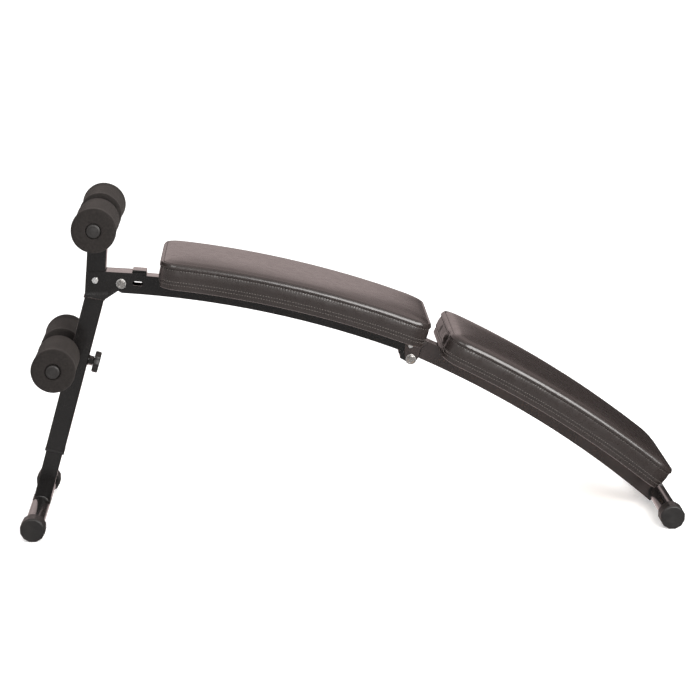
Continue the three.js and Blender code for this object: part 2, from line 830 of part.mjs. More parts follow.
function padScrew() {
  const headTop = RAIL_HEIGHT - WALL - GAP;
  const head = rodZ(SCREW.headR, headTop - SCREW.headHeight, headTop, 16);
  const shank = rodZ(SCREW.r, headTop - 2, RAIL_HEIGHT + 10, 16);
  return join(head, shank);
}

function addPad(group, prefix, arc, pad, screwPlaces) {
  const low = BOARD.lift;
  const high = BOARD.lift + BOARD.thickness;
  const layer = arcLayer(arc, pad, BOARD.inset, low, high);
  const holes = screwPlaces.map((x) => uprightHole(arc, x, SCREW.r + 2));
  place(group, `${prefix}_pad_board`, cut(layer, ...holes), plywood());
  const cushion = arcLayer(arc, pad, 0, COVER_EDGE, PAD_TOP);
  const boardSpace = arcLayer(arc, pad, BOARD.inset - GAP, -GAP, CUSHION_BOTTOM);
  place(group, `${prefix}_pad`, cut(cushion, boardSpace), leatherette());

  screwPlaces.forEach((x, index) => {
    const tilt = railTilt(arc, x);
    const screw = place(group, `${prefix}_pad_screw_${index + 1}`, padScrew(), zinc());
    screw.position.copy(railPoint(arc, x, 0));
    screw.rotation.y = tilt;
    const nut = place(group, `${prefix}_pad_nut_${index + 1}`, teeNut(), zinc());
    nut.position.copy(railPoint(arc, x, RAIL_HEIGHT + high + GAP));
    nut.rotation.y = tilt;
  });
}

// ------------------------------------------------------------------- assembly

addStand();
addLegExtension();
addClamp();
addFrontRail();
addRearRail();
addPad(frontRailGroup, 'front', FRONT_ARC, FRONT_PAD, FRONT_SCREWS);
addPad(rearRailGroup, 'rear', REAR_ARC, REAR_PAD, REAR_SCREWS);
bench.position.x = -FOOT_SPACING / 2;

export default bench;
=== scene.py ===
"""Decline sit up bench: the looks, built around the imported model.

Lengths are metres in the model's own frame: X runs along the bench from the
roller end to the low end, Y across it and Z up from the floor. The frame's own
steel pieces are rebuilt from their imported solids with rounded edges. The pads,
rollers, knob, welds and stitches are made here.
"""

import json
import math

import bmesh
import bpy
import numpy as np
from mathutils import Matrix, Vector, noise
from mathutils.bvhtree import BVHTree


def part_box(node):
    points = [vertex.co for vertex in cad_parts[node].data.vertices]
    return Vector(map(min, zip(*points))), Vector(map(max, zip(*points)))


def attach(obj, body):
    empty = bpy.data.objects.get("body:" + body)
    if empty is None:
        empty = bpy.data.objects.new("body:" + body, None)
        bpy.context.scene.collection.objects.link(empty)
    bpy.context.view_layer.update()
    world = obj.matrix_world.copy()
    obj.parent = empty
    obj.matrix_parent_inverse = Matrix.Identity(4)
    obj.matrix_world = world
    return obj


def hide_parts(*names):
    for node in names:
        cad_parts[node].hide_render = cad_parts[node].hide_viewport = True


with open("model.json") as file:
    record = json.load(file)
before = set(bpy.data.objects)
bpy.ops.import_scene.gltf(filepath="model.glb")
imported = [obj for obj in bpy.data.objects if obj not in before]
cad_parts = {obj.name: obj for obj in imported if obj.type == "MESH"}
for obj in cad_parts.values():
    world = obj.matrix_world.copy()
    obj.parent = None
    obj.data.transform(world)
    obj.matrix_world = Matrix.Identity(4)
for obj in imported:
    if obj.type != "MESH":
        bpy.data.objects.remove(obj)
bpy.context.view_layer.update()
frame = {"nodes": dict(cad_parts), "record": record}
nodes = frame["nodes"]
body_of_node = {
    node: body
    for body, members in frame["record"]["behaviour"]["bodies"].items()
    for node in members
}

MM = 0.001

# The rails are bent to two large arcs in the X-Z plane; r is the rail's top face.
FRONT_ARC = {"x": -0.6347, "z": -1.5393, "r": 2.072}
REAR_ARC = {"x": -0.7579, "z": -1.5982, "r": 2.1744}
RAIL_HEIGHT = 0.040

# Each pad runs between two places on its rail's top face.
FRONT_PAD = {"from": -0.3955, "to": 0.1455, "half": 0.129, "corner": 0.034}
REAR_PAD = {"from": 0.1840, "to": 0.6438, "half": 0.137, "corner": 0.040}
# place across, width and height of the folds in the cover's front end
REAR_PAD_FOLDS = [(-0.080, 0.010, -0.0026), (-0.052, 0.016, 0.0020), (0.028, 0.009, -0.0026)]
COVER_BOTTOM = 0.001  # heights above the rail
BLOCK_TOP = 0.053
CROWN = 0.0022  # the foam's own crown, before the cover swells
STITCH_PITCH = 0.0056

# The studio as gloss sees it: its brightness by how high a direction points, from straight
# down to straight up, and what dims it towards the front and low on the right.
WORLD_STOPS = [
    (-1.0, 0.95),
    (-0.50, 1.0),
    (-0.24, 0.55),
    (0.05, 0.60),
    (0.21, 1.02),
    (1.0, 0.9),
]
FRONT_DIMMING = 0.38
DARK_FROM_X = (0.18, 0.275)
DARK_BELOW_Z = (0.20, 0.55)
DARK_DEPTH = 0.94
FRONT_GLOSS = (1.0, 0.97, 0.96)
BACK_GLOSS = (0.92, 0.755, 0.735)
SOFT_LIGHT = 1.15  # the studio's even brightness for everything but gloss
LAMP_COLOUR = (1.0, 0.985, 0.97)
FLOOR_DROP = 0.0005
FLOOR_HALF = 30.0

CAMERA_PLACE = (-0.18485, -4.1031, 1.3990)
CAMERA_LENS = 102.857
CAMERA_TURNS = {"pitch": 14.31, "yaw": 2.58, "roll": -0.32}  # degrees

LEG_LEAN = math.radians(16.2)
POST_LEAN = math.radians(5.0)
LEG_HALF = 0.020
LEG_INNER_HALF = 0.0175
RAIL_HALF = 0.0175
LEG_KINK = 0.470  # along the leg from the foot's axis
KNOB_PLACE = 0.333
FOOT_X = 0.6645
FOOT_Z = 0.0255
FOOT_R = 0.019
AXLE_R = 0.0125
TUBE_WALL = 0.0018
SIDES = (("right", -1.0), ("left", 1.0))  # the near and far side, by their sign in Y

NOISE_SPAN = (0.3, 0.7)  # where most of a noise texture's values lie


# ---- materials


class Nodes:
    """A short way to write one material's nodes."""

    def __init__(self, name, base, roughness, metallic=0.0):
        self.material = bpy.data.materials.new(name)
        self.material.use_nodes = True
        self.tree = self.material.node_tree
        self.shader = self.tree.nodes["Principled BSDF"]
        self.shader.inputs["Base Color"].default_value = (*base, 1.0)
        self.shader.inputs["Roughness"].default_value = roughness
        self.shader.inputs["Metallic"].default_value = metallic
        self.coords = self.tree.nodes.new("ShaderNodeTexCoord").outputs["Object"]

    def add(self, kind, inputs=None, **settings):
        node = self.tree.nodes.new(kind)
        for key, value in settings.items():
            setattr(node, key, value)
        for key, value in (inputs or {}).items():
            if isinstance(value, bpy.types.NodeSocket):
                self.tree.links.new(value, node.inputs[key])
            else:
                node.inputs[key].default_value = value
        return node

    def stretched(self, scale):
        mapping = self.add("ShaderNodeMapping", {"Vector": self.coords, "Scale": scale})
        return mapping.outputs["Vector"]

    def noise(self, scale, detail=3.0, roughness=0.5, vector=None):
        inputs = {
            "Vector": vector or self.coords,
            "Scale": scale,
            "Detail": detail,
            "Roughness": roughness,
        }
        return self.add("ShaderNodeTexNoise", inputs).outputs["Fac"]

    def cells(self, scale, feature="F1"):
        inputs = {"Vector": self.coords, "Scale": scale}
        return self.add("ShaderNodeTexVoronoi", inputs, feature=feature).outputs["Distance"]

    def spread(self, noise_value, low, high):
        """Stretches a noise to run from low to high."""
        inputs = {
            "Value": noise_value,
            "From Min": NOISE_SPAN[0],
            "From Max": NOISE_SPAN[1],
            "To Min": low,
            "To Max": high,
        }
        return self.add("ShaderNodeMapRange", inputs).outputs["Result"]

    def two_tone(self, noise_value, dark, light):
        self.colour(noise_value, (NOISE_SPAN[0], dark), (NOISE_SPAN[1], light))

    def colour(self, value, *stops):
        """Colours a 0 to 1 value by (place, rgb) stops."""
        node = self.add("ShaderNodeValToRGB", {"Fac": value})
        ramp = node.color_ramp
        while len(ramp.elements) < len(stops):
            ramp.elements.new(0.5)
        for element, (place, rgb) in zip(ramp.elements, stops):
            element.position = place
            element.color = (*rgb, 1.0)
        self.link(node.outputs["Color"], "Base Color")

    def bump(self, height, strength, distance, under=None):
        inputs = {"Height": height, "Strength": strength, "Distance": distance}
        if under is not None:
            inputs["Normal"] = under
        return self.add("ShaderNodeBump", inputs).outputs["Normal"]

    def link(self, output, name):
        self.tree.links.new(output, self.shader.inputs[name])


def steel_paint(name, dark, light):
    """Gloss black powder coat: faint orange peel, blotched between two near blacks."""
    m = Nodes(name, light, 0.26)
    m.shader.inputs["Coat Weight"].default_value = 0.65
    m.shader.inputs["Coat Roughness"].default_value = 0.14
    m.two_tone(m.noise(14.0, 4.0), dark, light)
    m.link(m.spread(m.noise(60.0, 5.0), 0.19, 0.28), "Roughness")
    m.link(m.bump(m.noise(240.0, 2.0), 0.05, 0.0002), "Normal")
    return m.material


def zinc(name, dark, light, metallic):
    """Bright zinc plate: grey metal, clouded between two tones."""
    m = Nodes(name, light, 0.25, metallic)
    m.two_tone(m.noise(160.0, 4.0), dark, light)
    m.link(m.spread(m.noise(400.0, 3.0), 0.20, 0.34), "Roughness")
    m.link(m.bump(m.noise(700.0, 2.0), 0.05, 0.0002), "Normal")
    return m.material


def plastic(name, dark, light, blotch_scale, roughness, grain):
    """Moulded plastic with a fine spark-eroded grain."""
    m = Nodes(name, light, roughness[0])
    m.two_tone(m.noise(blotch_scale, 4.0), dark, light)
    m.link(m.spread(m.noise(150.0, 4.0), *roughness), "Roughness")
    m.link(m.bump(m.cells(1600.0), grain, 0.0002), "Normal")
    return m.material


def foam():
    """Closed-cell foam: matt, with small cells and a soft bloom on the skin."""
    m = Nodes("foam", (0.026, 0.022, 0.020), 0.95)
    m.shader.inputs["Sheen Weight"].default_value = 0.05
    m.shader.inputs["Sheen Roughness"].default_value = 0.5
    m.shader.inputs["Sheen Tint"].default_value = (0.80, 0.68, 0.62, 1.0)
    m.shader.inputs["Specular IOR Level"].default_value = 0.18
    tone = m.noise(220.0, 6.0, 0.7)
    m.colour(tone, (0.3, (0.0080, 0.0068, 0.0063)), (0.75, (0.0175, 0.0148, 0.0136)))
    cells = m.bump(m.cells(900.0), 0.45, 0.0006)
    m.link(m.bump(m.noise(90.0, 5.0, 0.7), 0.25, 0.0010, cells), "Normal")
    return m.material


def leatherette():
    """Soft-gloss vinyl with a pebbled grain and fine creases."""
    m = Nodes("leatherette", (0.020, 0.0145, 0.0125), 0.26)
    m.shader.inputs["Coat Weight"].default_value = 0.12
    m.shader.inputs["Coat Roughness"].default_value = 0.09
    m.two_tone(m.noise(9.0, 3.0), (0.0165, 0.0128, 0.0118), (0.0215, 0.0170, 0.0158))
    m.link(m.spread(m.noise(70.0, 5.0), 0.24, 0.31), "Roughness")
    pebble = m.cells(620.0, feature="SMOOTH_F1")
    grain = m.bump(pebble, 0.06, 0.0004)
    m.link(m.bump(m.noise(45.0, 6.0, 0.65), 0.012, 0.0010, grain), "Normal")
    return m.material


def thread():
    """Twisted nylon sewing thread."""
    m = Nodes("thread", (0.10, 0.088, 0.082), 0.5)
    m.two_tone(m.noise(900.0, 2.0), (0.060, 0.052, 0.048), (0.150, 0.132, 0.122))
    m.link(m.bump(m.noise(3000.0, 1.0), 0.3, 0.0002), "Normal")
    return m.material


def plywood():
    """A birch face veneer: long grain, pale, with darker pores."""
    m = Nodes("plywood", (0.45, 0.30, 0.17), 0.75)
    grain = m.noise(90.0, 6.0, 0.6, vector=m.stretched((0.12, 1.6, 1.0)))
    pores, wood, pale = (0.33, 0.20, 0.10), (0.50, 0.34, 0.19), (0.60, 0.43, 0.26)
    m.colour(grain, (0.32, pores), (0.5, wood), (0.7, pale))
    m.link(m.bump(grain, 0.25, 0.0006), "Normal")
    return m.material


STEEL = steel_paint("steel_paint", (0.0036, 0.0032, 0.0031), (0.0058, 0.0051, 0.0049))
# A lighter, browner copy of the gloss paint: painted reflected light and painted highlight on the
# pieces that use it, not a different paint
SHEEN_PAINTED_STEEL = steel_paint(
    "steel_paint_painted_sheen", (0.0250, 0.0185, 0.0175), (0.0340, 0.0255, 0.0240)
)
ZINC = zinc("zinc", (0.66, 0.67, 0.68), (0.82, 0.80, 0.77), 0.8)
DULL_ZINC = zinc("zinc_dull", (0.40, 0.385, 0.37), (0.56, 0.54, 0.52), 0.9)
PLASTIC = plastic(
    "black_plastic", (0.0078, 0.0069, 0.0066), (0.0120, 0.0106, 0.0100), 40.0, (0.38, 0.55), 0.18
)
PLUG_PLASTIC = plastic(
    "plug_plastic", (0.0130, 0.0116, 0.0110), (0.0190, 0.0170, 0.0162), 60.0, (0.34, 0.50), 0.12
)
FOAM = foam()
LEATHER = leatherette()
THREAD = thread()
PLY = plywood()
BY_SLOT = {
    "steel_paint": STEEL,
    "zinc": ZINC,
    "black_plastic": PLASTIC,
    "foam": FOAM,
    "leatherette": LEATHER,
    "plywood": PLY,
}
slot_of_node = {s["node"]: s["material_slot"] for s in frame["record"]["subparts"]}
# pieces whose finish differs from the rest of their slot; the rear rail and hinge cheeks get a
# lighter, browner paint that is painted reflected light
MATERIAL_OF_NODE = {
    "rear_rail": SHEEN_PAINTED_STEEL,
    "hinge_cheek_left": SHEEN_PAINTED_STEEL,
    "hinge_cheek_right": SHEEN_PAINTED_STEEL,
    "fold_bolt": DULL_ZINC,
    "mid_pivot_bolt": DULL_ZINC,
}
STAMPED_HEADS = ("fold_bolt", "mid_pivot_bolt")  # the bolts with a dish in their head
STAMP = {"rim": 1.4 * MM, "slope": 1.3 * MM, "depth": 0.9 * MM}


# ---- mesh helpers


def shade(bm, sharp_degrees=35.0):
    """Smooth faces, with hard edges where the surface turns sharply."""
    limit = math.radians(sharp_degrees)
    for face in bm.faces:
        face.smooth = True
    for edge in bm.edges:
        edge.smooth = len(edge.link_faces) == 2 and edge.calc_face_angle(0.0) < limit


def piece(name, bm, material, body, stands_for=()):
    """Turns a bmesh into a piece that rides on a body."""
    mesh = bpy.data.meshes.new(name)
    bm.to_mesh(mesh)
    bm.free()
    mesh.materials.append(material)
    obj = bpy.data.objects.new(name, mesh)
    bpy.context.scene.collection.objects.link(obj)
    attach(obj, body)
    if stands_for:
        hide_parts(*stands_for)
    return obj


def flat_shading_fix(obj):
    """Keeps the shading of large flat faces flat beside small rounded edges."""
    modifier = obj.modifiers.new("weighted_normal", "WEIGHTED_NORMAL")
    modifier.keep_sharp = True


def clean_copy(node):
    """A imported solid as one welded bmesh, without the lines across flat faces."""
    bm = bmesh.new()
    bm.from_mesh(nodes[node].data)
    bmesh.ops.remove_doubles(bm, verts=bm.verts, dist=0.00002)
    bmesh.ops.dissolve_limit(
        bm, angle_limit=math.radians(0.25), verts=bm.verts, edges=bm.edges
    )
    return bm


def sharp_edges(bm, degrees=30.0):
    limit = math.radians(degrees)
    return [e for e in bm.edges if len(e.link_faces) == 2 and e.calc_face_angle(0.0) > limit]


def stamp_head(bm):
    """Sinks the round dish that is stamped in a bolt's head, at its near end."""
    face = min(bm.faces, key=lambda f: f.calc_center_median().y)
    bmesh.ops.inset_region(bm, faces=[face], thickness=STAMP["rim"])
    bmesh.ops.inset_region(bm, faces=[face], thickness=STAMP["slope"], depth=-STAMP["depth"])


def rounded(node, radius, segments=2, chosen=None):
    """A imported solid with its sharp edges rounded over, in place of the node."""
    bm = clean_copy(node)
    edges = sharp_edges(bm)
    if chosen is not None:
        edges = [e for e in edges if chosen(e)]
    bmesh.ops.bevel(
        bm,
        geom=edges,
        offset=radius,
        segments=segments,
        profile=0.5,
        affect="EDGES",
        clamp_overlap=True,
    )
    if node in STAMPED_HEADS:
        stamp_head(bm)
    shade(bm)
    slot = slot_of_node[node]
    material = MATERIAL_OF_NODE.get(node, BY_SLOT[slot])
    obj = piece(node + "_shape", bm, material, body_of_node[node], [node])
    flat_shading_fix(obj)


def neighbours(items, closed):
    """Each item with the one after it; a closed row also joins its last to its first."""
    pairs = list(zip(items, items[1:]))
    if closed:
        pairs.append((items[-1], items[0]))
    return pairs


def turned(profile, sides, closed=False):
    """A solid of revolution about Y from (radius, y) pairs; ends on the axis or closed."""
    bm = bmesh.new()
    rings = []
    for radius, y in profile:
        if radius < 1e-9:
            rings.append([bm.verts.new((0.0, y, 0.0))])
            continue
        ring = []
        for i in range(sides):
            angle = 2.0 * math.pi * i / sides
            ring.append(bm.verts.new((radius * math.cos(angle), y, radius * math.sin(angle))))
        rings.append(ring)
    for low, high in neighbours(rings, closed):
        for i in range(sides):
            j = (i + 1) % sides
            if len(low) == 1:
                bm.faces.new((low[0], high[i], high[j]))
            elif len(high) == 1:
                bm.faces.new((low[i], high[0], low[j]))
            else:
                bm.faces.new((low[i], high[i], high[j], low[j]))
    bmesh.ops.recalc_face_normals(bm, faces=bm.faces)
    return bm


def corner_arc(centre, radius, start, end, steps):
    """Points of a profile's round corner; angles in degrees from +radius towards +y."""
    points = []
    for i in range(steps + 1):
        angle = math.radians(start + (end - start) * i / steps)
        across, along = radius * math.cos(angle), radius * math.sin(angle)
        points.append((centre[0] + across, centre[1] + along))
    return points


def middle(node):
    low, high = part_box(node)
    return (low + high) / 2


def turns(count):
    return [2.0 * math.pi * i / count for i in range(count)]


def circle(centre, radius):
    """Points round a circle in the X-Z plane."""
    return [centre + Vector((math.cos(a), 0.0, math.sin(a))) * radius for a in turns(110)]


# ---- steel and bolts


def arc_direction(arc, point):
    """The direction along a bent rail at a point."""
    radial = Vector((point.x - arc["x"], 0.0, point.z - arc["z"]))
    return Vector((radial.z, 0.0, -radial.x)).normalized()


def along_tube(node, direction_at):
    """Picks a tube's long outer corners, given its direction at a point."""
    low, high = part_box(node)
    side = (high.y - low.y) / 2 - 0.0002

    def chosen(edge):
        a, b = edge.verts[0].co, edge.verts[1].co
        run = (b - a).normalized()
        outer = abs(a.y) > side and abs(b.y) > side
        return outer and abs(run.dot(direction_at((a + b) / 2))) > 0.97

    return chosen


def leaning(angle):
    direction = Vector((math.sin(angle), 0.0, math.cos(angle)))
    return lambda point: direction


def steel_tubes():
    corner = 2.4 * MM
    tubes = {
        "front_rail": lambda p: arc_direction(FRONT_ARC, p),
        "rear_rail": lambda p: arc_direction(REAR_ARC, p),
        "leg_tube": leaning(LEG_LEAN),
        "leg_extension": leaning(LEG_LEAN),
        "post_tube": leaning(POST_LEAN),
    }
    for node, direction_at in tubes.items():
        rounded(node, corner, 4, along_tube(node, direction_at))


def plates_and_fasteners():
    radii = {
        "head_bracket": 0.7,
        "hinge_cheek_left": 0.6,
        "hinge_cheek_right": 0.6,
        "mid_knuckle": 1.0,
        "rail_stop_block": 1.2,
        "lower_axle_saddle": 1.0,
        "knob_nut": 0.7,
        "leg_collar": 0.8,
        "post_plug": 1.4,
        "post_nut": 0.7,
        "fold_nut": 0.8,
        "mid_pivot_nut": 0.8,
        "fold_bolt": 0.8,
        "mid_pivot_bolt": 0.8,
        "post_bolt": 1.2,
        "fold_washer_near": 0.3,
        "fold_washer_far": 0.3,
        "mid_washer_near": 0.3,
        "mid_washer_far": 0.3,
        "mid_stop_pin": 0.4,
        "clamp_screw": 0.4,
    }
    for node, radius in radii.items():
        rounded(node, radius * MM)
    for end in ("front", "rear"):
        for side in ("left", "right"):
            rounded(f"{end}_foot_cap_{side}", 0.9 * MM, 3)


def round_tube(node, radius, sides, edge=0.0):
    """A round steel tube along Y; its ends may have a small chamfer."""
    low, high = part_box(node)
    half = (high.y - low.y) / 2
    inner = radius - TUBE_WALL
    profile = [(inner, -half), (radius - edge, -half)]
    if edge:
        profile += [(radius, edge - half), (radius, half - edge)]
    profile += [(radius - edge, half), (inner, half)]
    bm = turned(profile, sides, closed=True)
    shade(bm)
    bmesh.ops.translate(bm, verts=bm.verts, vec=middle(node))
    piece(node + "_shape", bm, STEEL, body_of_node[node], [node])


def weld_bead(name, points, radius, body, closed=False, paint=STEEL):
    """A rippled bead of weld along a line of points."""
    ripple_pitch = 2.6 * MM
    askew = Vector((0.31, 0.87, 0.38))  # a direction that no bead runs along
    count = len(points)
    bm = bmesh.new()
    rings = []
    travelled = 0.0
    for i, point in enumerate(points):
        before = points[i - 1] if i or closed else point
        after = points[(i + 1) % count] if i + 1 < count or closed else point
        run = (after - before).normalized()
        side = run.cross(askew).normalized()
        up = side.cross(run)
        travelled += (point - points[i - 1]).length if i else 0.0
        ripple = abs(math.sin(math.pi * travelled / ripple_pitch))
        r = radius * (0.82 + 0.22 * ripple + 0.08 * noise.noise(point * 300.0))
        ring = []
        for k in range(8):
            angle = math.pi * k / 4
            ring.append(bm.verts.new(point + r * (side * math.cos(angle) + up * math.sin(angle))))
        rings.append(ring)
    for a, b in neighbours(rings, closed):
        for k in range(8):
            n = (k + 1) % 8
            bm.faces.new((a[k], a[n], b[n], b[k]))
    if not closed:
        bm.faces.new(rings[0])
        bm.faces.new(rings[-1])
    bmesh.ops.recalc_face_normals(bm, faces=bm.faces)
    shade(bm, 60.0)
    piece(name, bm, paint, body)


def dense(corners, step=0.0008, closed=False):
    """Points every step along straight lines between corners."""
    points = []
    for a, b in neighbours(corners, closed):
        count = max(2, int((b - a).length / step))
        points += [a.lerp(b, i / count) for i in range(count)]
    if not closed:
        points.append(corners[-1])
    return points


def leg_point(s, u, y):
    """A point in the leg's own frame: s up the leg, u behind it, y across."""
    along = Vector((math.sin(LEG_LEAN), 0.0, math.cos(LEG_LEAN)))
    behind = Vector((math.cos(LEG_LEAN), 0.0, -math.sin(LEG_LEAN)))
    return Vector((-FOOT_X, y, FOOT_Z)) + along * s + behind * u


# The knob's outline in millimetres, from the bottom of its bore, round the inner face and the
# rim to the middle of the outer face: (radius, distance behind the leg's axis).
KNOB_PROFILE = [
    (0.0, 42.0), (5.3, 42.0), (5.3, 31.3), (9.0, 31.0), (14.0, 31.2), (20.2, 31.3),
    (21.9, 31.9), (22.7, 33.2), (23.0, 37.5), (22.7, 42.3), (21.8, 43.7), (20.2, 44.2),
    (14.0, 44.1), (11.0, 44.0), (9.0, 44.4), (0.0, 44.5),
]
KNOB_LOBES = 8.0
KNOB_LOBE_HEIGHT = 1.1 * MM
KNOB_LOBES_FROM = 14 * MM  # the radius where the lobes start to show
KNOB_LOBES_GROW = 8 * MM


def star_knob():
    """The clamp knob's head: eight soft lobes round a flat disc."""
    bm = turned([(r * MM, u * MM) for r, u in KNOB_PROFILE], 96)
    for vert in bm.verts:
        radial = Vector((vert.co.x, 0.0, vert.co.z))
        reach = min(1.0, max(0.0, (radial.length - KNOB_LOBES_FROM) / KNOB_LOBES_GROW))
        lobe = math.cos(KNOB_LOBES * math.atan2(vert.co.z, vert.co.x)) - 0.6
        vert.co += radial.normalized() * lobe * KNOB_LOBE_HEIGHT * reach if reach else Vector()
    for vert in bm.verts:
        vert.co = leg_point(KNOB_PLACE + vert.co.x, vert.co.y, -vert.co.z)
    shade(bm, 45.0)
    node = "star_knob"
    piece(node + "_shape", bm, PLASTIC, body_of_node[node], [node])


def leg_post_weld():
    """The bead round the mitre where the post stands on the leg tube."""
    mitre = (LEG_LEAN + POST_LEAN) / 2
    across = Vector((math.cos(mitre), 0.0, -math.sin(mitre)))
    kink = leg_point(LEG_KINK, 0.0, 0.0)
    half = LEG_HALF + 0.9 * MM
    square = [(1.0, 1.0), (1.0, -1.0), (-1.0, -1.0), (-1.0, 1.0)]
    wrap = [kink + across * (half * a) + Vector((0.0, half * b, 0.0)) for a, b in square]
    # This bead gets the lighter paint: a painted highlight along the weld.
    weld_bead("weld_leg_post", dense(wrap, closed=True), 1.8 * MM, "stand", True, SHEEN_PAINTED_STEEL)


def saddle_weld(name, body, half_u, place):
    """A bead where a square tube stands on a round one, which runs along Y."""
    corners = []
    steps = 24
    for side in (1.0, -1.0):
        for i in range(steps + 1):
            u = half_u * (1.0 - 2.0 * i / steps) * side
            lift = math.sqrt(FOOT_R**2 - min(abs(u), FOOT_R * 0.999) ** 2)
            corners.append(place(lift + 0.4 * MM, u, side * (RAIL_HALF + 0.5 * MM)))
    weld_bead(name, dense(corners, closed=True), 1.7 * MM, body, closed=True)


def foot_welds():
    """The leg and the rear rail on their foot tubes."""
    saddle_weld("weld_front_foot", "leg_slider", LEG_INNER_HALF, leg_point)
    rail_end = Vector((FOOT_X, 0.0, FOOT_Z))
    back = -arc_direction(REAR_ARC, rail_end)
    up = Vector((-back.z, 0.0, back.x))

    def rail_point(s, u, y):
        return rail_end + back * s + up * u + Vector((0.0, y, 0.0))

    saddle_weld("weld_rear_foot", "rear_frame", FOOT_R * 0.995, rail_point)


def axle_and_nut_welds():
    """The upper axle on the post, and the knob's nut on the leg."""
    axle_centre = middle("upper_axle")
    for name, side in SIDES:
        face = Vector((0.0, side * (LEG_HALF + 0.7 * MM), 0.0))
        ring = circle(axle_centre + face, AXLE_R + 0.7 * MM)
        weld_bead(f"weld_upper_axle_{name}", ring, 1.2 * MM, "stand", closed=True)
    reach, behind = 10.6 * MM, LEG_HALF + 0.6 * MM
    nut_ring = [
        leg_point(KNOB_PLACE + reach * math.cos(a), behind, reach * math.sin(a))
        for a in turns(90)
    ]
    weld_bead("weld_knob_nut", nut_ring, 1.0 * MM, "stand", closed=True)


# the hinge cheeks' rear edge in millimetres: (x, z)
CHEEK_EDGE = [
    (142.6, 338.5), (145.5, 345.2), (147.0, 352.0), (150.8, 359.0), (157.6, 364.0), (164.6, 367.0),
]
CHEEK_WELD_Y = 19.4
KNUCKLE_FROM = 0.1015
KNUCKLE_LENGTH = 0.027


def cheek_welds():
    """The hinge cheeks' rear edges on the rear rail."""
    for name, side in SIDES:
        line = [
            Vector((x * MM, side * CHEEK_WELD_Y * MM, z * MM)) for x, z in through(CHEEK_EDGE, 2.0)
        ]
        weld_bead(f"weld_cheek_{name}", dense(line), 1.7 * MM, "rear_frame")


def knuckle_welds():
    """The knuckle on the underside of the front rail."""
    underside = FRONT_ARC["r"] - RAIL_HEIGHT
    steps = 8
    for name, side in SIDES:
        line = []
        for i in range(steps + 1):
            x = KNUCKLE_FROM + KNUCKLE_LENGTH * i / steps
            z = FRONT_ARC["z"] + math.sqrt(underside**2 - (x - FRONT_ARC["x"]) ** 2)
            line.append(Vector((x, side * (RAIL_HALF + 0.1 * MM), z - 0.3 * MM)))
        weld_bead(f"weld_knuckle_{name}", dense(line), 1.0 * MM, "front_frame")


def welds():
    leg_post_weld()
    foot_welds()
    axle_and_nut_welds()
    cheek_welds()
    knuckle_welds()


# ---- rollers and plugs


FOAM_R = 45.6 * MM  # at the full outer end
FOAM_WAIST_R = 43.6 * MM
FOAM_EDGE = 8.0 * MM
FOAM_FULL_LENGTH = 22 * MM  # how far the full end reaches along the roller
FOAM_STEP = 3.0 * MM  # how softly it steps down to the waist
FOAM_INNER_FLARE = 12 * MM
# the dish round each bore in millimetres: (radius, depth)
FOAM_DISH = [(13.0, 6.0), (16.0, 6.0), (16.0, 2.2), (17.5, 0.9), (21.0, 0.2), (26.0, 0.0)]


def roller_profile(half):
    """The outline of a straight roller, from the bore at one end to the bore at the other."""
    corner_r, corner_y = FOAM_R - FOAM_EDGE, half - FOAM_EDGE
    steps = 40
    profile = [(r * MM, depth * MM - half) for r, depth in FOAM_DISH]
    profile += corner_arc((corner_r, -corner_y), FOAM_EDGE, -90, 0, 12)
    profile += [(FOAM_R, 2 * corner_y * i / steps - corner_y) for i in range(1, steps)]
    profile += corner_arc((corner_r, corner_y), FOAM_EDGE, 0, 90, 12)
    profile += [(r * MM, half - depth * MM) for r, depth in reversed(FOAM_DISH)]
    return profile


def roller(node):
    """A foam roller: a fuller outer end, rounded edges and a dish round each bore."""
    low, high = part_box(node)
    half = (high.y - low.y) / 2
    centre = middle(node)
    outer_end = 1.0 if centre.y > 0 else -1.0
    bm = turned(roller_profile(half), 96, closed=True)
    for vert in bm.verts:
        radial = Vector((vert.co.x, 0.0, vert.co.z))
        if radial.length < 30 * MM:
            continue
        from_outer = half - vert.co.y * outer_end
        from_inner = 2 * half - from_outer
        slim = 1.0 / (1.0 + math.exp((FOAM_FULL_LENGTH - from_outer) / FOAM_STEP))
        slim *= 1.0 - math.exp(-((from_inner / FOAM_INNER_FLARE) ** 2)) * 0.5
        uneven = noise.noise((vert.co + centre) * 28.0) * 0.6 * MM
        uneven += noise.noise((vert.co + centre) * 140.0) * 0.12 * MM
        vert.co += radial.normalized() * (uneven - (FOAM_R - FOAM_WAIST_R) * slim)
    shade(bm, 50.0)
    bmesh.ops.translate(bm, verts=bm.verts, vec=centre)
    piece(node + "_foam", bm, FOAM, body_of_node[node], [node])


PLUG_R = 14.3 * MM
PLUG_EDGE = 2.2 * MM
# the ring moulded in a plug's face in millimetres, from outside in: (radius, depth)
PLUG_RING = [(9.6, 0.6), (9.2, 1.0), (8.4, 1.0), (8.0, 0.5), (4.0, 0.1), (0.0, 0.0)]


def axle_plug(node):
    """A domed end plug with a shallow ring moulded in its face."""
    low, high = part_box(node)
    centre = (low + high) / 2
    outward = 1.0 if centre.y > 0 else -1.0
    face = high.y if outward > 0 else -low.y
    inner = low.y if outward > 0 else -high.y
    spigot = AXLE_R - TUBE_WALL - 0.3 * MM
    head = inner + 14 * MM
    profile = [(0.0, inner), (spigot, inner), (spigot, head), (PLUG_R, head)]
    profile += corner_arc((PLUG_R - PLUG_EDGE, face - 3.2 * MM), PLUG_EDGE, 0, 70, 6)
    profile += [(r * MM, face - depth * MM) for r, depth in PLUG_RING]
    bm = turned(profile, 64)
    shade(bm, 40.0)
    if outward < 0:
        bmesh.ops.rotate(bm, verts=bm.verts, matrix=Matrix.Rotation(math.pi, 3, "Z"))
    bmesh.ops.translate(bm, verts=bm.verts, vec=(centre.x, 0.0, centre.z))
    piece(node + "_shape", bm, PLUG_PLASTIC, body_of_node[node], [node])


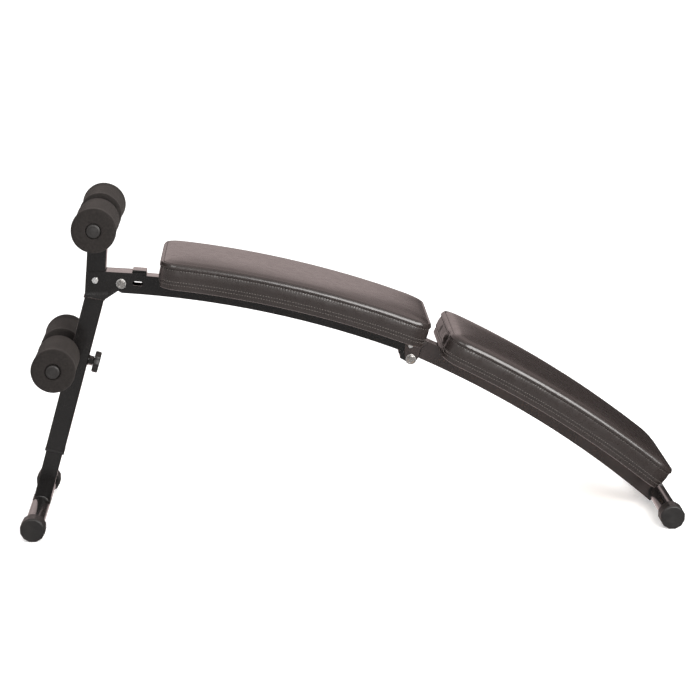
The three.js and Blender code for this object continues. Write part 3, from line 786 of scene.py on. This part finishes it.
def rollers_and_axles():
    for level in ("upper", "lower"):
        round_tube(f"{level}_axle", AXLE_R, 56)
        for side in ("left", "right"):
            roller(f"{level}_roller_{side}")
            axle_plug(f"{level}_plug_{side}")


# ---- pads


class Pad:
    """A pad's measurements. Its flat space is (s along the rail, y across, h above it)."""

    def __init__(self, name, arc, size, folds=()):
        self.name = name
        self.folds = folds
        self.arc = arc
        self.start = math.asin((size["from"] - arc["x"]) / arc["r"])
        end = math.asin((size["to"] - arc["x"]) / arc["r"])
        self.length = (end - self.start) * arc["r"]
        self.half = size["half"]
        self.corner = size["corner"]
        self.outline, self.outward = self.make_outline()

    def make_outline(self):
        """Evenly spaced points round the pad, four to a stitch, with outward directions."""
        half_s, half_y, r = self.length / 2, self.half, self.corner
        sides = [2 * (half_s - r), 2 * (half_y - r)]
        turn = math.pi * r / 2
        total = 2 * sum(sides) + 4 * turn
        count = 8 * round(total / STITCH_PITCH / 2)
        corners = [
            (half_s - r, half_y - r, 90.0),
            (half_s - r, r - half_y, 0.0),
            (r - half_s, r - half_y, -90.0),
            (r - half_s, half_y - r, -180.0),
        ]
        points, normals = [], []
        for i in range(count):
            along = total * i / count
            for k in range(4):
                straight = sides[k % 2]
                cs, cy, angle = corners[k]
                if along < straight:
                    before = corners[k - 1]
                    start = Vector((before[0], before[1])).lerp(Vector((cs, cy)), along / straight)
                    normal = Vector((math.cos(math.radians(angle)), math.sin(math.radians(angle))))
                    points.append(start + normal * r)
                    normals.append(normal)
                    break
                along -= straight
                if along < turn:
                    bearing = math.radians(angle) - along / r
                    normal = Vector((math.cos(bearing), math.sin(bearing)))
                    points.append(Vector((cs, cy)) + normal * r)
                    normals.append(normal)
                    break
                along -= turn
        outline = np.array([(p.x + half_s, p.y) for p in points])
        return outline, np.array([(n.x, n.y) for n in normals])

    def pleats(self, across):
        """Folds in the cover's front end, by place across the pad."""
        total = np.zeros(len(across))
        for place, width, height in self.folds:
            total += height * np.exp(-(((across - place) / width) ** 2))
        return total

    def bent(self, flat):
        """Flat pad space (an array of s, y, h) onto the bent rail."""
        angle = self.start + flat[:, 0] / self.arc["r"]
        reach = self.arc["r"] + flat[:, 2]
        x = self.arc["x"] + reach * np.sin(angle)
        z = self.arc["z"] + reach * np.cos(angle)
        return np.stack([x, flat[:, 1], z], axis=1)


# The foam block's simulation.
BLOCK_SLACK = 1.5 * MM  # it starts this much inside the outline
VOXEL = 5 * MM
PRESSURE = 4.0
CLOTH_FRAMES = 20
PINNED_BELOW = 15 * MM
HELD_EDGE = 9 * MM  # the band beside the top edge that hardly moves
TOP_RISE = 8 * MM  # how far the top and the sides may move
SIDE_RISE = 3 * MM


def foam_block(pad):
    """A pad's plain foam block in flat space, remeshed into even squares."""
    bm = bmesh.new()
    ring = pad.outline[::8] - pad.outward[::8] * BLOCK_SLACK
    bottom = [bm.verts.new((x, y, COVER_BOTTOM)) for x, y in ring]
    top = [bm.verts.new((x, y, BLOCK_TOP)) for x, y in ring]
    bm.faces.new(bottom)
    bm.faces.new(top)
    for i in range(len(ring)):
        j = (i + 1) % len(ring)
        bm.faces.new((bottom[i], bottom[j], top[j], top[i]))
    bmesh.ops.recalc_face_normals(bm, faces=bm.faces)
    mesh = bpy.data.meshes.new("block")
    bm.to_mesh(mesh)
    bm.free()
    block = bpy.data.objects.new("block", mesh)
    bpy.context.scene.collection.objects.link(block)
    remesh = block.modifiers.new("remesh", "REMESH")
    remesh.mode = "VOXEL"
    remesh.voxel_size = VOXEL
    block.data = evaluated(block)
    block.modifiers.clear()
    return block


def under_pressure(pad, block, rest):
    """Where the block's points go when a short cloth simulation swells it, within limits."""
    pins = block.vertex_groups.new(name="pins")
    for i, (x, y, h) in enumerate(rest):
        at_edge = edge_distance(pad, x, y)
        if h < PINNED_BELOW:
            pins.add([i], 1.0, "REPLACE")
        elif h > BLOCK_TOP - HELD_EDGE and at_edge < HELD_EDGE:
            pins.add([i], 0.9, "REPLACE")
    cloth = block.modifiers.new("cloth", "CLOTH")
    cloth.settings.use_pressure = True
    cloth.settings.uniform_pressure_force = PRESSURE
    cloth.settings.vertex_group_mass = "pins"
    cloth.settings.effector_weights.gravity = 0.0
    for step in range(1, CLOTH_FRAMES + 1):
        bpy.context.scene.frame_set(step)
    swollen = evaluated(block)
    bpy.context.scene.frame_set(1)
    block.modifiers.clear()
    block.data = swollen
    shift = points_of(swollen) - rest
    length = np.linalg.norm(shift, axis=1, keepdims=True)
    limit = np.where(rest[:, 2:3] > BLOCK_TOP - 2 * MM, TOP_RISE, SIDE_RISE)
    return rest + shift * limit * np.tanh(length / limit) / np.maximum(length, 1e-9)


def puffed(pad):
    """The surface of the pad's swollen foam block, ready to be measured."""
    block = foam_block(pad)
    rest = points_of(block.data)
    moved = under_pressure(pad, block, rest)
    block.data.vertices.foreach_set("co", moved.ravel())
    smooth = block.modifiers.new("smooth", "SUBSURF")
    smooth.levels = 2
    shape = evaluated(block)
    tree = BVHTree.FromPolygons(
        [v.co.copy() for v in shape.vertices], [tuple(p.vertices) for p in shape.polygons]
    )
    bpy.data.objects.remove(block)
    return tree


def evaluated(obj):
    """A copy of an object's mesh with its modifiers applied."""
    depsgraph = bpy.context.evaluated_depsgraph_get()
    depsgraph.update()
    return bpy.data.meshes.new_from_object(obj.evaluated_get(depsgraph))


def points_of(mesh):
    flat = np.empty(len(mesh.vertices) * 3)
    mesh.vertices.foreach_get("co", flat)
    return flat.reshape(-1, 3)


def edge_distance(pad, s, y):
    """How far a point of the pad's plan is inside its outline, ignoring the corners."""
    return min(s, pad.length - s, pad.half - abs(y))


def through(points, step):
    """A smooth curve through pairs of numbers, sampled about every step."""
    points = np.array(points, dtype=float)
    ends = [2 * points[0] - points[1], *points, 2 * points[-1] - points[-2]]
    curve = []
    for p0, p1, p2, p3 in zip(ends, ends[1:], ends[2:], ends[3:]):
        bend = 2 * p0 - 5 * p1 + 4 * p2 - p3
        twist = 3 * p1 - p0 - 3 * p2 + p3
        pieces = max(1, round(float(np.linalg.norm(p2 - p1)) / step))
        for k in range(pieces):
            t = k / pieces
            curve.append(0.5 * (2 * p1 + (p2 - p0) * t + bend * t**2 + twist * t**3))
    curve.append(points[-1])
    return np.array(curve)


# The cover's side in millimetres: (out from the outline, height), top seam to bottom edge.
EDGE_ROLL = [
    (-7.6, 53.4), (-6.5, 51.9), (-5.2, 52.9), (-3.6, 53.1), (-2.0, 52.3), (-0.7, 50.5),
    (0.5, 48.2), (1.3, 45.6), (0.9, 43.4), (-1.0, 42.0),
]
SIDE_BAND = [
    (-1.0, 42.0), (-0.8, 40.8), (0.0, 36.5), (1.0, 30.0), (1.2, 23.0), (0.9, 18.0),
    (0.3, 15.4), (-1.2, 14.6),
]
LOWER_BAND = [
    (-1.2, 14.6), (-1.2, 13.2), (-1.0, 10.6), (-0.8, 6.0), (-0.8, 3.4), (-1.6, 1.2),
    (-3.4, 0.2),
]
# heights in millimetres of the two grooves and of the sewn rows beside the lower one
ROLL_GROOVE = 42.0
ROLL_HEIGHT = 10.5  # the edge roll, above its groove
FOLD_GROOVE = 14.6
UPPER_ROW = 17.6
LOWER_ROW = 10.6
# height, how many outline points along the first stitch sits, and the thread's length
STITCH_ROWS = [(ROLL_GROOVE - 1.0, 2, 3.0), (UPPER_ROW, 0, 3.8), (LOWER_ROW, 2, 3.8)]
THREAD_R = 0.45 * MM
PROBE = 0.03  # how far outside the outline the swollen block is measured from
SPINE_SHARE = 0.82  # the top panel's middle line stays this share of its half width inside
SEAM_SHARE = 0.14  # the part of the top panel that runs down to the seam
TOP_LIFT = 1.6 * MM  # of the top panel above its seam
# the top panel's rings, as shares of the way from its middle line to the seam
TOP_STEPS = [
    0.0, 0.08, 0.17, 0.26, 0.35, 0.44, 0.53, 0.62, 0.70,
    0.77, 0.83, 0.87, 0.905, 0.93, 0.955, 0.975, 0.99,
]
# The cover's hem in millimetres: (in from the outline, height). It runs in under the board,
# back over the fold, then up and over the board inside the cover.
HEM_UNDER = [(6.0, -0.6), (12.0, -0.9), (24.0, -0.9), (25.0, -0.3), (24.0, 0.2), (12.6, 0.2)]
HEM_INSIDE = [(11.6, 0.6), (11.6, 11.0), (13.0, 12.6), (26.0, 12.6)]
# where the hem meets the rail it stays short and above it
HEM_RAIL_HALF = 0.030
HEM_RAIL_INSET = 8.0
HEM_RAIL_HEIGHT = 0.75


def swell(h):
    """How much of the simulated bulge shows at a height on the side: none at a seam."""
    if h > ROLL_GROOVE:
        return 0.35 * math.sin(math.pi * min(1.0, (h - ROLL_GROOVE) / ROLL_HEIGHT))
    if h > FOLD_GROOVE:
        return math.sin(math.pi * (h - FOLD_GROOVE) / (ROLL_GROOVE - FOLD_GROOVE)) ** 0.7
    return 0.0


def pinch(along, h, groove, depth, reach):
    """The small gathers that stitches pull into the cover beside a seam."""
    near = np.exp(-(((h - groove) / reach) ** 2))
    return -depth * near * (0.5 + 0.5 * np.cos(2 * np.pi * along / 4.0))


def ripple(points, scale, size, seed):
    """Gentle unevenness, the same every run."""
    offset = Vector((seed * 7.3, seed * 3.1, seed * 5.7))
    return np.array([noise.noise(Vector(p) * scale + offset) for p in points]) * size


def side_bulge(pad, tree, h):
    """How far the swollen block stands out past the outline at a height, all round."""
    share = swell(h)
    bulge = np.zeros(len(pad.outline))
    if share <= 0.01:
        return bulge
    for i, (place, normal) in enumerate(zip(pad.outline, pad.outward)):
        start = Vector((*(place + normal * PROBE), min(h, 49.0) * MM))
        hit = tree.ray_cast(start, Vector((-normal[0], -normal[1], 0.0)), 2 * PROBE)
        if hit[0] is not None:
            bulge[i] = max(0.0, PROBE - hit[3]) * share
    return smoothed(bulge, 6)


def side_rings(pad, tree, seed):
    """Rings of flat-space points down the cover's side, and the (out, height) of each."""
    profile = np.concatenate(
        [through(EDGE_ROLL, 1.1)[:-1], through(SIDE_BAND, 2.0)[:-1], through(LOWER_BAND, 1.4)]
    )
    index = np.arange(len(pad.outline))
    at_front = np.clip(-2.0 * pad.outward[:, 0] - 1.0, 0.0, 1.0)
    rings = []
    for out, h in profile:
        gathers = pinch(index, h, ROLL_GROOVE, 0.6, 2.4)
        gathers = gathers + pinch(index + 2, h, UPPER_ROW, 0.25, 1.8)
        reach = (out + gathers) * MM + side_bulge(pad, tree, h)
        plan = pad.outline + pad.outward * reach[:, None]
        ring = np.column_stack([plan, np.full(len(index), h * MM)])
        wave = ripple(ring, 30.0, 0.5 * MM, seed) + ripple(ring, 110.0, 0.15 * MM, seed + 1)
        share = swell(h)
        fold = pad.pleats(ring[:, 1]) * share * at_front
        ring[:, :2] += pad.outward * (wave * (0.4 + 0.6 * share) + fold)[:, None]
        rings.append(ring)
    return rings, profile


def smoothed(values, passes):
    """Evens out a closed row of values."""
    for _ in range(passes):
        values = 0.5 * values + 0.25 * (np.roll(values, 1) + np.roll(values, -1))
    return values


def top_rings(pad, tree, seed):
    """Rings from the middle of the top panel out to the top seam."""
    spine = pad.half * SPINE_SHARE
    centre = np.stack(
        [np.clip(pad.outline[:, 0], spine, pad.length - spine), np.zeros(len(pad.outline))], axis=1
    )
    edge = pad.outline + pad.outward * EDGE_ROLL[0][0] * MM
    rings = []
    for t in TOP_STEPS:
        plan = centre + (edge - centre) * t
        heights = []
        for x, y in plan:
            hit = tree.ray_cast(Vector((x, y, 0.2)), Vector((0.0, 0.0, -1.0)), 0.3)
            heights.append(hit[0].z - BLOCK_TOP if hit[0] is not None else 0.0)
        crown = np.array(heights) + CROWN * (1.0 - t**4)
        near_seam = 1.0 - np.clip((1.0 - t) / SEAM_SHARE, 0.0, 1.0)
        level = EDGE_ROLL[0][1] * MM + (crown + TOP_LIFT) * (1.0 - near_seam**2)
        ring = np.column_stack([plan, level])
        ring[:, 2] += ripple(ring, 9.0, 0.9 * MM, seed) * (1.0 - t**3)
        ring[:, 2] += ripple(ring, 34.0, 0.13 * MM, seed + 2) * (1.0 - near_seam)
        rings.append(ring)
    return rings


def hem_rings(pad):
    """Rings from the cover's bottom edge, in under the board, round its edge and over it."""
    at_rail = np.exp(-((np.abs(pad.outline[:, 1]) / HEM_RAIL_HALF) ** 6))
    rings = []
    for inset, height in HEM_UNDER + HEM_INSIDE:
        inward = np.full(len(pad.outline), inset)
        level = np.full(len(pad.outline), height)
        if (inset, height) in HEM_UNDER:
            inward = inward + at_rail * (min(inset, HEM_RAIL_INSET) - inset)
            level = level + at_rail * (HEM_RAIL_HEIGHT - height)
        plan = pad.outline - pad.outward * (inward * MM)[:, None]
        rings.append(np.column_stack([plan, level * MM]))
    return rings


def ring_mesh(pad, name, rings):
    """One closed mesh from rings of points, capped at both ends, bent onto the rail."""
    count = len(pad.outline)
    points = pad.bent(np.concatenate(rings))
    faces = []
    for k in range(len(rings) - 1):
        low, high = k * count, (k + 1) * count
        for i in range(count):
            j = (i + 1) % count
            faces.append((low + i, low + j, high + j, high + i))
    last = (len(rings) - 1) * count
    faces.append(tuple(range(last, last + count)))
    mesh = bpy.data.meshes.new(name)
    mesh.from_pydata(points.tolist(), [], faces)
    bm = bmesh.new()
    bm.from_mesh(mesh)
    bpy.data.meshes.remove(mesh)
    bmesh.ops.remove_doubles(bm, verts=bm.verts, dist=0.00002)
    bmesh.ops.recalc_face_normals(bm, faces=bm.faces)
    return bm


def stitch_row(bm, path, outward, every, length, radius):
    """Adds one short thread over the cover for every few points of a path."""
    count = len(path)
    for i in range(0, count, every):
        centre, ahead = Vector(path[i]), Vector(path[(i + 1) % count])
        run = (ahead - centre).normalized()
        normal = Vector(outward[i])
        normal = (normal - run * normal.dot(run)).normalized()
        side = run.cross(normal)
        rings = []
        for k, share in ((-1.0, 0.35), (-0.6, 0.9), (0.0, 1.0), (0.6, 0.9), (1.0, 0.35)):
            lift = radius * (0.9 - 1.1 * k * k)
            middle_point = centre + run * (k * length / 2) + normal * lift
            ring = []
            for a in range(6):
                angle = math.pi * a / 3
                reach = normal * math.cos(angle) + side * math.sin(angle)
                ring.append(bm.verts.new(middle_point + reach * radius * share))
            rings.append(ring)
        for low, high in zip(rings, rings[1:]):
            for a in range(6):
                b = (a + 1) % 6
                bm.faces.new((low[a], low[b], high[b], high[a]))
        bm.faces.new(rings[0])
        bm.faces.new(rings[-1])


def pad_stitches(pad, rings, profile, body):
    """Three sewn rows: under the edge roll and either side of the low fold."""
    bm = bmesh.new()
    heights = profile[:, 1]
    for height, shift, length in STITCH_ROWS:
        k = int(np.argmin(np.abs(heights - height)))
        ring = np.roll(rings[k], -shift, axis=0)
        normals = np.roll(pad.outward, -shift, axis=0)
        path = pad.bent(ring)
        tips = pad.bent(ring + np.column_stack([normals * MM, np.zeros(len(normals))]))
        stitch_row(bm, path, tips - path, 4, length * MM, THREAD_R)
    bmesh.ops.recalc_face_normals(bm, faces=bm.faces)
    shade(bm, 70.0)
    piece(pad.name + "_stitches", bm, THREAD, body)


def padded_cover(name, arc, size, seed, folds=()):
    pad = Pad(name, arc, size, folds)
    tree = puffed(pad)
    sides, profile = side_rings(pad, tree, seed)
    rings = top_rings(pad, tree, seed) + sides + hem_rings(pad)
    bm = ring_mesh(pad, name, rings)
    shade(bm, 70.0)
    body = body_of_node[name]
    cover = piece(name + "_cover", bm, LEATHER, body, [name])
    pad_stitches(pad, sides, profile, body)


# ---- the stage


def floor_material():
    m = Nodes("studio_floor", (0.90, 0.90, 0.90), 0.6)
    m.shader.inputs["Emission Color"].default_value = (1.0, 1.0, 1.0, 1.0)
    m.shader.inputs["Emission Strength"].default_value = 0.30
    m.link(m.spread(m.noise(3.0, 2.0), 0.55, 0.65), "Roughness")
    return m.material


def make_floor():
    bm = bmesh.new()
    bmesh.ops.create_grid(bm, x_segments=2, y_segments=2, size=FLOOR_HALF)
    mesh = bpy.data.meshes.new("studio_floor")
    bm.to_mesh(mesh)
    bm.free()
    mesh.materials.append(floor_material())
    floor = bpy.data.objects.new("studio_floor", mesh)
    floor.location.z = -FLOOR_DROP
    floor.visible_glossy = False
    bpy.context.scene.collection.objects.link(floor)


def make_world():
    """A white studio, dimmer at the front and to the right, as the gloss shows it."""
    world = bpy.data.worlds.new("studio")
    world.use_nodes = True
    bpy.context.scene.world = world
    tree = world.node_tree
    background = tree.nodes["Background"]
    coords = tree.nodes.new("ShaderNodeTexCoord")
    split = tree.nodes.new("ShaderNodeSeparateXYZ")
    tree.links.new(coords.outputs["Generated"], split.inputs[0])

    def fade(axis, low, high, to_low, to_high):
        node = tree.nodes.new("ShaderNodeMapRange")
        node.interpolation_type = "SMOOTHSTEP"
        tree.links.new(split.outputs[axis], node.inputs["Value"])
        for key, value in zip(
            ("From Min", "From Max", "To Min", "To Max"), (low, high, to_low, to_high)
        ):
            node.inputs[key].default_value = value
        return node.outputs["Result"]

    def combined(operation, a, b):
        node = tree.nodes.new("ShaderNodeMath")
        node.operation = operation
        for socket, value in zip(node.inputs, (a, b)):
            if isinstance(value, float):
                socket.default_value = value
            else:
                tree.links.new(value, socket)
        return node.outputs[0]

    ramp = tree.nodes.new("ShaderNodeValToRGB")
    tree.links.new(fade("Z", -1.0, 1.0, 0.0, 1.0), ramp.inputs["Fac"])
    stops = ramp.color_ramp.elements
    while len(stops) < len(WORLD_STOPS):
        stops.new(0.5)
    for element, (height, level) in zip(stops, WORLD_STOPS):
        element.position = (height + 1.0) / 2.0
        element.color = (level, level, level, 1.0)
    right = fade("X", *DARK_FROM_X, 0.0, DARK_DEPTH)
    low = fade("Z", *DARK_BELOW_Z, 1.0, 0.0)
    dimming = combined("SUBTRACT", 1.0, combined("MULTIPLY", right, low))
    front = fade("Y", -0.7, 0.5, FRONT_DIMMING, 1.0)
    seen = combined("MULTIPLY", combined("MULTIPLY", ramp.outputs["Color"], front), dimming)

    # Soft light falls evenly; only gloss sees the studio's lighter and darker parts.
    path = tree.nodes.new("ShaderNodeLightPath")
    choice = tree.nodes.new("ShaderNodeMix")
    tree.links.new(path.outputs["Is Glossy Ray"], choice.inputs[0])
    choice.inputs[2].default_value = SOFT_LIGHT
    tree.links.new(seen, choice.inputs[3])
    tree.links.new(choice.outputs[0], background.inputs["Strength"])
    tint = tree.nodes.new("ShaderNodeMix")
    tint.data_type = "RGBA"
    tree.links.new(path.outputs["Is Glossy Ray"], tint.inputs[0])
    tint.inputs[6].default_value = (1.0, 1.0, 1.0, 1.0)
    tree.links.new(tint.outputs[2], background.inputs["Color"])
    warm = tree.nodes.new("ShaderNodeMix")
    warm.data_type = "RGBA"
    tree.links.new(fade("Y", -0.5, 0.5, 0.0, 1.0), warm.inputs[0])
    warm.inputs[6].default_value = (*FRONT_GLOSS, 1.0)
    warm.inputs[7].default_value = (*BACK_GLOSS, 1.0)
    tree.links.new(warm.outputs[2], tint.inputs[7])


def softbox(name, place, target, size, power):
    light = bpy.data.lights.new(name, "AREA")
    light.shape = "RECTANGLE"
    light.size, light.size_y = size
    light.energy = power
    light.color = LAMP_COLOUR
    obj = bpy.data.objects.new(name, light)
    obj.visible_camera = False
    obj.location = place
    obj.rotation_euler = (Vector(target) - Vector(place)).to_track_quat("-Z", "Y").to_euler()
    bpy.context.scene.collection.objects.link(obj)


def make_lights():
    softbox("key_softbox", (1.75, -2.6, 2.0), (0.2, 0.0, 0.4), (2.9, 1.6), 180.0)
    softbox("fill_softbox", (-1.3, -2.4, 3.1), (-0.4, 0.0, 0.4), (1.6, 1.0), 28.0)


def make_camera():
    """The view from beside the bench, a little above it."""
    data = bpy.data.cameras.new("camera")
    data.sensor_width = 36.0
    data.lens = CAMERA_LENS
    camera = bpy.data.objects.new("camera", data)
    pitch, yaw, roll = (math.radians(CAMERA_TURNS[turn]) for turn in ("pitch", "yaw", "roll"))
    forward = Vector(
        (math.sin(yaw) * math.cos(pitch), math.cos(yaw) * math.cos(pitch), -math.sin(pitch))
    )
    right = forward.cross(Vector((0.0, 0.0, 1.0))).normalized()
    up = right.cross(forward)
    turned_right = right * math.cos(roll) + up * math.sin(roll)
    turned_up = up * math.cos(roll) - right * math.sin(roll)
    camera.matrix_world = Matrix.Translation(CAMERA_PLACE) @ Matrix(
        (turned_right, turned_up, -forward)
    ).transposed().to_4x4()
    bpy.context.scene.collection.objects.link(camera)
    bpy.context.scene.camera = camera


# ---- assembly

make_camera()
make_world()
make_lights()
make_floor()
bpy.context.scene.view_settings.view_transform = "Standard"

for node, obj in nodes.items():
    obj.data.materials.clear()
    obj.data.materials.append(BY_SLOT[slot_of_node[node]])

steel_tubes()
plates_and_fasteners()
for crossbar in ("front_crossbar", "rear_crossbar"):
    round_tube(crossbar, FOOT_R, 72, edge=0.4 * MM)
rollers_and_axles()
star_knob()
welds()
padded_cover("front_pad", FRONT_ARC, FRONT_PAD, 1)
padded_cover("rear_pad", REAR_ARC, REAR_PAD, 2, REAR_PAD_FOLDS)
